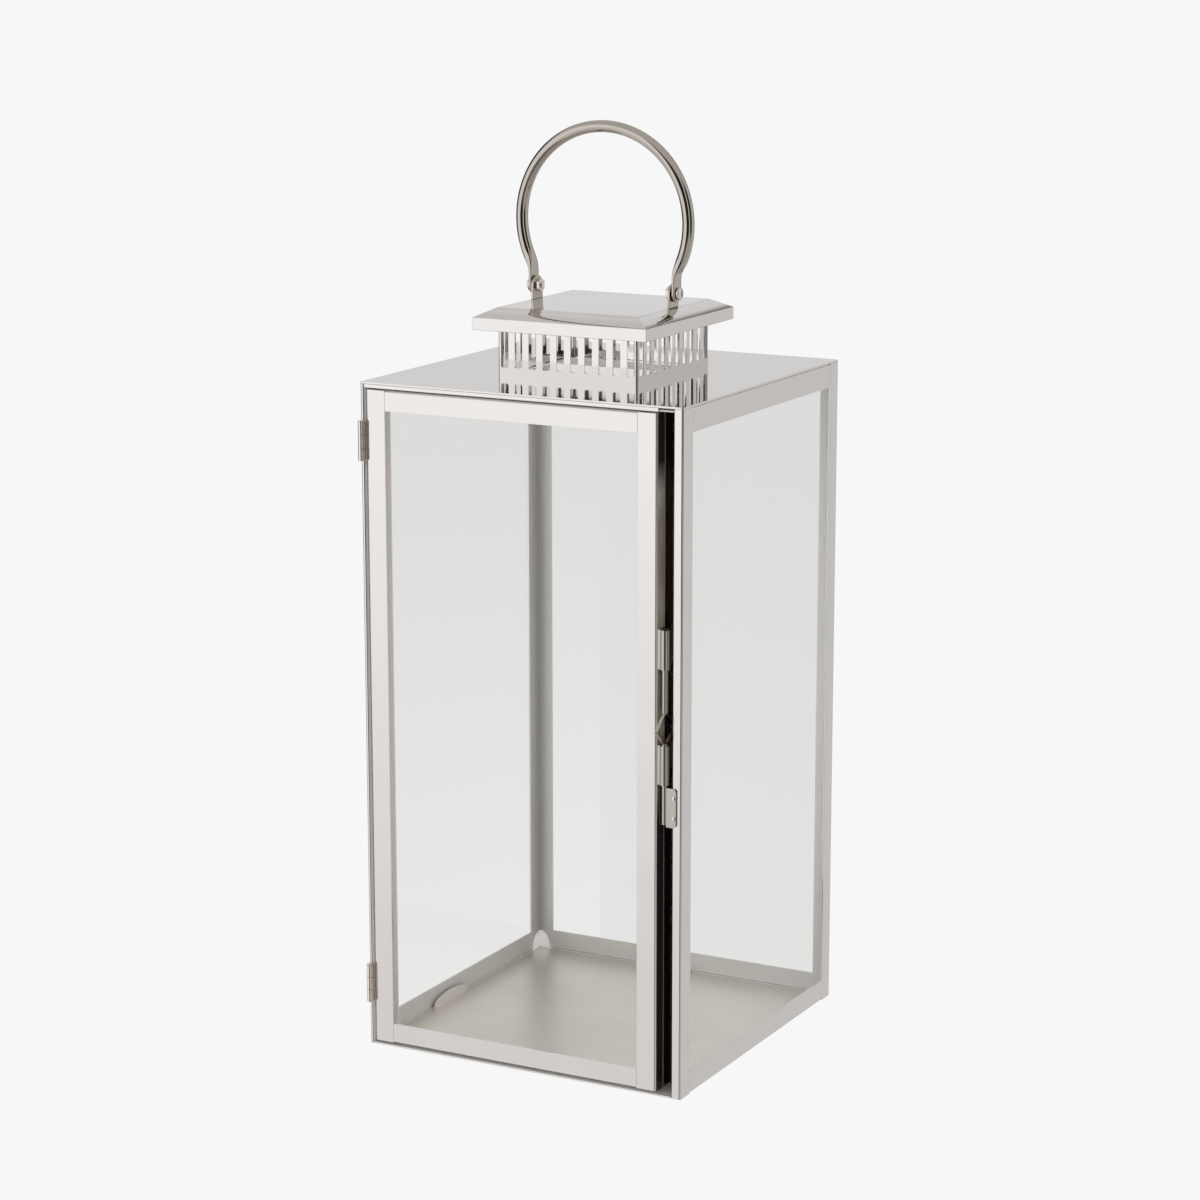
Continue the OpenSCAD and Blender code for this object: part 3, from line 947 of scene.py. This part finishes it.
class LANTERN_OT_vent(PieceOperator, bpy.types.Operator):
    """Slotted walls of the vent and the lip under its cap"""

    bl_idname = "lantern.vent"
    bl_label = "Vent"

    def execute(self, context):
        mesh = join_meshes("vent_slotted", [self.walls(), self.lip()])
        smooth_by_angle(mesh)
        new_piece("vent_slotted", mesh, ["vent_grille"])
        return {"FINISHED"}

    def walls(self):
        """Four slotted walls with rounded corners between them."""
        low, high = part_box("vent_grille")
        cap_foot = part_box("vent_cap")[0].z
        g = Grower("vent_walls")
        size = g.input("Width", "Float", high.x - low.x)
        base = g.input("Base height", "Float", low.z)
        top = g.input("Top height", "Float", high.z - sizes().vent_wall)
        wall = g.input("Sheet", "Float", sizes().vent_wall)
        count = g.input("Slots", "Int", sizes().slot_count)
        slot_w = g.input("Slot width", "Float", sizes().slot_width)
        slot_low = g.input("Slot foot", "Float", low.z + 4.5 * MM)
        slot_high = g.input("Slot head", "Float", cap_foot + 1.0 * MM)
        corner = g.input("Corner radius", "Float", 1.5 * MM)
        rise = g.minus(top, base)
        middle = g.times(g.maths("ADD", top, base), 0.5)
        panel = g.rectangle(g.minus(size, g.times(corner, 2.0)), rise)

        slot = g.rectangle(slot_w, g.minus(slot_high, slot_low))
        values = {"Curve": slot, "Radius": 1.1 * MM, "Count": 5}
        slot = g.add("GeometryNodeFilletCurve", {"mode": "POLY"}, values)
        pitch = g.maths("DIVIDE", size, count)
        first = g.times(g.minus(count, 1.0), g.times(pitch, -0.5))
        slot_middle = g.minus(g.times(g.maths("ADD", slot_high, slot_low), 0.5), middle)
        start = g.vector(X=first, Y=slot_middle)
        slots = g.repeat(slot, count, start, g.vector(X=pitch))
        slots = g.add("GeometryNodeRealizeInstances", None, {"Geometry": slots})

        side = slab(g, g.join([panel, slots]), wall)
        half = g.times(size, 0.5)
        side = g.move(side, Translation=g.vector(Y=middle, Z=g.minus(half, wall)))
        side = g.move(side, Rotation=(math.pi / 2, 0, 0))
        reach = g.minus(half, corner)
        values = {"Vertices": 40, "Radius": corner, "Depth": rise}
        rod = g.add("GeometryNodeMeshCylinder", {"fill_type": "NGON"}, values)
        rod = g.move(rod, Translation=g.vector(X=reach, Y=g.times(reach, -1.0), Z=middle))
        quarter = g.join([side, rod])
        sides = [g.move(quarter, Rotation=(0, 0, k * math.pi / 2)) for k in range(4)]
        g.finish(g.join(sides), finish("polished_steel"))
        return g.grow("vent_walls")

    def lip(self):
        """The flat rim that carries the cap."""
        low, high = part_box("vent_grille")
        width, sheet = high.x - low.x, sizes().vent_wall
        g = Grower("vent_lip")
        outer = g.input("Outer width", "Float", width - 3.0 * MM)
        inner = g.input("Inner width", "Float", width - 14.0 * MM)
        thick = g.input("Sheet", "Float", sheet)
        ring = slab(g, g.join([g.rectangle(w, w) for w in (outer, inner)]), thick)
        g.finish(g.move(ring, Translation=(0, 0, high.z - sheet)), finish("polished_steel"))
        return g.grow("vent_lip")


class LANTERN_OT_ears(PieceOperator, bpy.types.Operator):
    """Ears on the cap with their screws and nuts"""

    bl_idname = "lantern.ears"
    bl_label = "Handle ears and screws"

    def execute(self, context):
        for node in ("handle_ear_left", "handle_ear_right"):
            eased_piece(node, 0.3 * MM, "tube_steel")
        for side, node in ((-1, "pivot_screw_left"), (1, "pivot_screw_right")):
            self.screw(side, node)
        eased_piece("pivot_nuts", 0.25 * MM)
        return {"FINISHED"}

    def screw(self, side, node):
        """A screw with a low domed head, which points away from the cap."""
        low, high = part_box(node)
        centre = cad_middle(node)
        near, far = sorted((abs(low.x), abs(high.x)))
        radius = (high.z - low.z) / 2
        shank, head, dome = 2.0 * MM, 2.0 * MM, 1.1 * MM
        brim = far - head
        profile = [(0, near), (shank * 0.8, near), (shank, near + 0.3 * MM), (shank, brim)]
        profile += [(radius - 0.15 * MM, brim), (radius, brim + 0.2 * MM)]
        for t in range(8):
            a = t * math.pi / 20
            profile.append((radius * math.cos(a), far - dome + dome * math.sin(a)))
        # the shallow recess for the driver
        profile += [(1.6 * MM, far - 0.15 * MM), (1.5 * MM, far - 0.6 * MM), (0, far - 0.75 * MM)]
        mesh = turned(node + "_turned", profile, (0, centre.y, centre.z), (side, 0, 0))
        smooth_by_angle(mesh)
        new_piece(node + "_turned", mesh, [node])


# the handle's ring ends below its middle; the flat tabs then hang beside the ears
RING_END = math.radians(20)
TAB_X = 45.3 * MM
TAB_RISE = 7.0 * MM
TAB_HALF_WIDTH, TAB_HALF_THICK = 4.75 * MM, 1.0 * MM


class LANTERN_OT_handle(PieceOperator, bpy.types.Operator):
    """Ring handle: a round tube pressed flat at both ends"""

    bl_idname = "lantern.handle"
    bl_label = "Handle"

    def execute(self, context):
        path = self.route()
        rings = []
        for n, (point, flat) in enumerate(path):
            before = path[max(n - 1, 0)][0]
            after = path[min(n + 1, len(path) - 1)][0]
            if n == 0:
                before = Vector((-path[1][0].x, 0, path[1][0].z))
            rings.append(self.ring(point, (after - before).normalized(), flat))
        left = [[Vector((-p.x, p.y, p.z)) for p in ring] for ring in reversed(rings[1:])]
        mesh = rings_mesh("handle_tube", left + rings)
        smooth_by_angle(mesh, math.radians(40))
        new_piece("handle_tube", mesh, ["handle"], "tube_steel")
        return {"FINISHED"}

    def route(self):
        """Points from the top of the ring down the right side, each with its flatness, 0 to 1."""
        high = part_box("handle")[1]
        pivot_z = JOINTS["handle_swing"]["pos_m"][2]
        ring_r = high.x - sizes().tube_radius
        ring_z = high.z - high.x
        path = []
        steps = 60
        for k in range(steps + 1):
            turn = math.pi / 2 - (math.pi / 2 + RING_END) * k / steps
            spot = Vector((ring_r * math.cos(turn), 0, ring_z + ring_r * math.sin(turn)))
            path.append((spot, 0.0))
        # from the ring's end the tube bends into the upright tab while it is pressed flat
        start = path[-1][0]
        foot = Vector((TAB_X, 0, pivot_z + TAB_RISE))
        span = (start - foot).length
        a = start + Vector((-math.sin(RING_END), 0, -math.cos(RING_END))) * span * 0.4
        b = foot + Vector((0, 0, span * 0.4))
        steps = 14
        for k in range(1, steps + 1):
            t = k / steps
            u = 1 - t
            point = start * u**3 + a * 3 * t * u**2 + b * 3 * t * t * u + foot * t**3
            path.append((point, t * t * (3 - 2 * t)))
        # down the tab, with closer points where its end is rounded
        for rise in (5.0, 2.5, 0.0, -1.2, -2.4, -3.4, -4.1, -4.5, -4.72):
            path.append((Vector((TAB_X, 0, pivot_z + rise * MM)), 1.0))
        return path

    def ring(self, point, along, flat):
        """Points round the tube: a circle where flat is 0, a thin flat bar where it is 1."""
        radius = sizes().tube_radius
        across = Vector((0, 1, 0)).cross(along)
        wide = radius + (TAB_HALF_WIDTH - radius) * flat
        thin = radius + (TAB_HALF_THICK - radius) * flat
        below = JOINTS["handle_swing"]["pos_m"][2] - point.z
        if flat == 1.0 and below > 0:
            wide = math.sqrt(max(TAB_HALF_WIDTH**2 - below**2, (0.3 * MM) ** 2))
        squareness = 2 / (2 + 3 * flat)
        count = 40
        ring = []
        for k in range(count):
            c, s = math.cos(math.tau * k / count), math.sin(math.tau * k / count)
            u = math.copysign(abs(c) ** squareness, c) * thin
            v = math.copysign(abs(s) ** squareness, s) * wide
            ring.append(point + across * u + Vector((0, 1, 0)) * v)
        return ring


class LANTERN_OT_hinges(PieceOperator, bpy.types.Operator):
    """Two butt hinges with rolled knuckles and pins"""

    bl_idname = "lantern.hinges"
    bl_label = "Hinges"

    def execute(self, context):
        for place in ("top", "low"):
            eased_piece("hinge_post_leaf_" + place, 0.12 * MM)
            eased_piece("hinge_door_leaf_" + place, 0.12 * MM)
            eased_piece("hinge_pin_" + place, 0.15 * MM)
        return {"FINISHED"}


class LANTERN_OT_door(PieceOperator, bpy.types.Operator):
    """Stiles and rails of the door"""

    bl_idname = "lantern.door"
    bl_label = "Door"

    def execute(self, context):
        for node in ("door_stile_hinge", "door_stile_latch", "door_rail_top", "door_rail_bottom"):
            eased_piece(node)
        return {"FINISHED"}


# the bolt's axis lies this far forward, and its grip fills the gap between the barrels
BOLT_Y = -98.2 * MM
GRIP_HEIGHT = 18.0 * MM


class LANTERN_OT_latch(PieceOperator, bpy.types.Operator):
    """Latch barrels, keeper with its rivets, and the lifting bolt"""

    bl_idname = "lantern.latch"
    bl_label = "Latch"

    def execute(self, context):
        for node in ("latch_barrel_top", "latch_barrel_low", "latch_keeper"):
            eased_piece(node, 0.14 * MM, "tube_steel")
        self.rivets()
        self.bolt()
        return {"FINISHED"}

    def rivets(self):
        low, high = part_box("keeper_rivets")
        head = (high.x - low.x) / 2
        rise = 0.6 * MM
        g = Grower("keeper_rivets")
        radius = g.input("Head radius", "Float", head)
        spread = g.input("Spread", "Float", (high.z - low.z) - 2 * head)
        ball = {"Segments": 32, "Rings": 16, "Radius": radius}
        dome = g.move(g.add("GeometryNodeMeshUVSphere", None, ball), Scale=(1.0, rise / head, 1.0))
        down = g.vector(Z=g.times(g.times(spread, 0.5), -1.0))
        heads = g.repeat(dome, 2, down, g.vector(Z=spread))
        middle = (low + high) / 2
        heads = g.move(heads, Translation=(middle.x, low.y + rise, middle.z))
        g.finish(heads, finish("polished_steel"))
        mesh = g.grow("keeper_rivet_heads")
        smooth_by_angle(mesh, math.radians(60))
        new_piece("keeper_rivet_heads", mesh, ["keeper_rivets"])

    def bolt(self):
        low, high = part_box("latch_bolt")
        rod = (high.x - low.x) / 2
        x = (low.x + high.x) / 2
        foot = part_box("latch_barrel_low")[1].z + 0.5 * MM
        head = foot + GRIP_HEIGHT
        bevel, overlap = 0.35 * MM, 0.6 * MM
        parts = []
        for z0, z1 in ((low.z, foot + overlap), (head - overlap, high.z)):
            tall = z1 - z0
            profile = [(0, 0), (rod - bevel, 0), (rod, bevel)]
            profile += [(rod, tall - bevel), (rod - bevel, tall), (0, tall)]
            parts.append(turned("rod", profile, (x, BOLT_Y, z0), (0, 0, 1)))
        parts.append(self.grip(x, low.y, high.y, foot, head))
        mesh = join_meshes("latch_bolt_rod", parts)
        smooth_by_angle(mesh, math.radians(50))
        new_piece("latch_bolt_rod", mesh, ["latch_bolt"], "tube_steel")

    def grip(self, x, front, back, foot, head):
        """A diamond of wire with eased corners, in the bolt's middle."""
        wire = sizes().grip_wire
        middle = (foot + head) / 2
        corners = [
            Vector((x, BOLT_Y, foot)),
            Vector((x, front + wire, middle)),
            Vector((x, BOLT_Y, head)),
            Vector((x, back - wire, middle)),
        ]
        ease, steps = 1.6 * MM, 6
        path = []
        for k, corner in enumerate(corners):
            before = (corners[k - 1] - corner).normalized() * ease
            after = (corners[(k + 1) % 4] - corner).normalized() * ease
            for n in range(steps + 1):
                t = n / steps
                path.append(corner + before * (1 - t) ** 2 + after * t * t)
        rings = []
        side = Vector((1, 0, 0))
        turns = [math.tau * k / 20 for k in range(20)]
        for n, point in enumerate(path):
            along = (path[(n + 1) % len(path)] - path[n - 1]).normalized()
            across = side.cross(along)
            rings.append([point + (side * math.cos(a) + across * math.sin(a)) * wire for a in turns])
        return rings_mesh("grip", rings, closed_loop=True)


# ------------------------------------------------------------------ stage

CAMERA_PLACE = Vector((0.8787, -1.6618, 0.6638))
CAMERA_AZIMUTH = math.radians(27.945)
CAMERA_TILT = math.radians(12.353)
CAMERA_ROLL = math.radians(-0.039)
CAMERA_LENS = 100.72
# the pale ground and backdrop
PAPER = 0.93
PAPER_RADIUS, PAPER_DEPTH = 0.6, 0.4 * MM
# the studio's brightness, as (degrees from the camera's direction towards the lantern's
# right, brightness): level with the lantern and above, near the floor, and overhead
ROUND_THE_TOP = [
    (-180, 0.73), (-168, 0.73), (-163, 0.05), (-106, 0.04), (-99, 1.00), (-84, 1.14), (-40, 1.14),
    (-34, 0.03), (9, 0.02), (15, 0.75), (26, 0.95), (31, 0.04), (66, 0.04), (72, 0.80),
    (92, 0.74), (104, 0.69), (136, 0.68), (141, 0.05), (162, 0.05), (168, 0.72), (180, 0.73),
]
ROUND_THE_FLOOR = [
    (-180, 0.86), (-150, 0.72), (-130, 0.66), (-90, 0.84), (-42, 0.84), (-34, 0.22), (-6, 0.16),
    (8, 0.60), (20, 0.60), (50, 0.50), (100, 0.70), (136, 0.67), (160, 0.76), (180, 0.80),
]
CEILING = (0.66, 0.645, 0.625)


def ring_of_light(s, turn, levels):
    stops = [((degrees + 180) / 360, level) for degrees, level in levels]
    return s.add("ShaderNodeValToRGB", {"stops": stops}, {"Fac": turn})


def studio_light(s):
    """Brightness of the studio round the lantern, by direction."""
    way = s.add("ShaderNodeTexCoord", out="Generated")
    x, y, z = s.split(way)
    azimuth = s.add("ShaderNodeMath", {"operation": "ARCTAN2"}, {0: x, 1: 0 - y})
    turn = (azimuth - CAMERA_AZIMUTH) * (1 / math.tau) + 1.5
    turn = s.add("ShaderNodeMath", {"operation": "FRACT"}, {0: turn})
    top = ring_of_light(s, turn, ROUND_THE_TOP)
    floor = ring_of_light(s, turn, ROUND_THE_FLOOR)
    sides = s.blend(s.ramp(z, -0.17, -0.33), top, floor)
    return s.blend(s.ramp(z, 0.38, 0.60), sides, CEILING)


class LANTERN_OT_stage(PieceOperator, bpy.types.Operator):
    """Pale floor, soft studio light and the camera"""

    bl_idname = "lantern.stage"
    bl_label = "Stage"

    def execute(self, context):
        scene = context.scene
        scene.view_settings.view_transform = "Standard"
        self.paper()
        self.light(scene)
        self.camera(scene)
        return {"FINISHED"}

    def paper(self):
        mesh = bpy.data.meshes.new("paper")
        bm = bmesh.new()
        bmesh.ops.create_circle(bm, cap_ends=True, segments=96, radius=PAPER_RADIUS)
        bm.to_mesh(mesh)
        bm.free()
        floor = bpy.data.objects.new("paper", mesh)
        bpy.context.scene.collection.objects.link(floor)
        floor.location.z = -PAPER_DEPTH
        material = bpy.data.materials.new("paper")
        material.use_nodes = True
        s = Shade(material.node_tree)
        end_surface(s, s.add("ShaderNodeEmission", None, {"Color": (PAPER, PAPER, PAPER, 1)}))
        mesh.materials.append(material)
        for ray in ("diffuse", "glossy", "transmission", "shadow", "volume_scatter"):
            setattr(floor, "visible_" + ray, False)

    def light(self, scene):
        world = bpy.data.worlds.new("studio")
        scene.world = world
        world.use_nodes = True
        s = Shade(world.node_tree)
        soft = s.add("ShaderNodeBackground", None, {"Color": studio_light(s)})
        plain = s.add("ShaderNodeBackground", None, {"Color": (PAPER, PAPER, PAPER, 1)})
        seen = s.add("ShaderNodeLightPath", out="Is Camera Ray")
        both = s.add("ShaderNodeMixShader", None, {0: seen, 1: soft, 2: plain})
        s.add("ShaderNodeOutputWorld", None, {"Surface": both})

    def camera(self, scene):
        data = bpy.data.cameras.new("camera")
        data.lens = CAMERA_LENS
        data.sensor_width = 36
        data.clip_start, data.clip_end = 0.05, 50
        camera = bpy.data.objects.new("camera", data)
        scene.collection.objects.link(camera)
        away = Vector(
            (
                -math.sin(CAMERA_AZIMUTH) * math.cos(CAMERA_TILT),
                math.cos(CAMERA_AZIMUTH) * math.cos(CAMERA_TILT),
                -math.sin(CAMERA_TILT),
            )
        )
        turn = away.to_track_quat("-Z", "Y").to_matrix().to_4x4()
        roll = Matrix.Rotation(CAMERA_ROLL, 4, "Z")
        camera.matrix_world = Matrix.Translation(CAMERA_PLACE) @ turn @ roll
        scene.camera = camera


# ------------------------------------------------------------------ panel and registration

PIECES = (
    LANTERN_OT_frame,
    LANTERN_OT_roof,
    LANTERN_OT_floor,
    LANTERN_OT_pad,
    LANTERN_OT_panes,
    LANTERN_OT_vent,
    LANTERN_OT_ears,
    LANTERN_OT_handle,
    LANTERN_OT_hinges,
    LANTERN_OT_door,
    LANTERN_OT_latch,
    LANTERN_OT_stage,
)


class LANTERN_PT_panel(bpy.types.Panel):
    """Sizes, colours and pieces of the lantern"""

    bl_idname = "LANTERN_PT_panel"
    bl_label = "Candle Lantern"
    bl_space_type = "VIEW_3D"
    bl_region_type = "UI"
    bl_category = "Lantern"

    def draw(self, context):
        for group in (sizes(), colours()):
            box = self.layout.box()
            for key in group.__annotations__:
                box.prop(group, key)
        for piece in PIECES:
            self.layout.operator(piece.bl_idname)


CLASSES = (LanternSizes, LanternColours, *PIECES, LANTERN_PT_panel)


def register():
    for cls in CLASSES:
        bpy.utils.register_class(cls)
    bpy.types.Scene.lantern_sizes = PointerProperty(type=LanternSizes)
    bpy.types.Scene.lantern_colours = PointerProperty(type=LanternColours)


def unregister():
    del bpy.types.Scene.lantern_colours
    del bpy.types.Scene.lantern_sizes
    for cls in reversed(CLASSES):
        bpy.utils.unregister_class(cls)


def main():
    register()
    for piece in PIECES:
        group, name = piece.bl_idname.split(".")
        getattr(getattr(bpy.ops, group), name)()


if __name__ == "__main__":
    main()
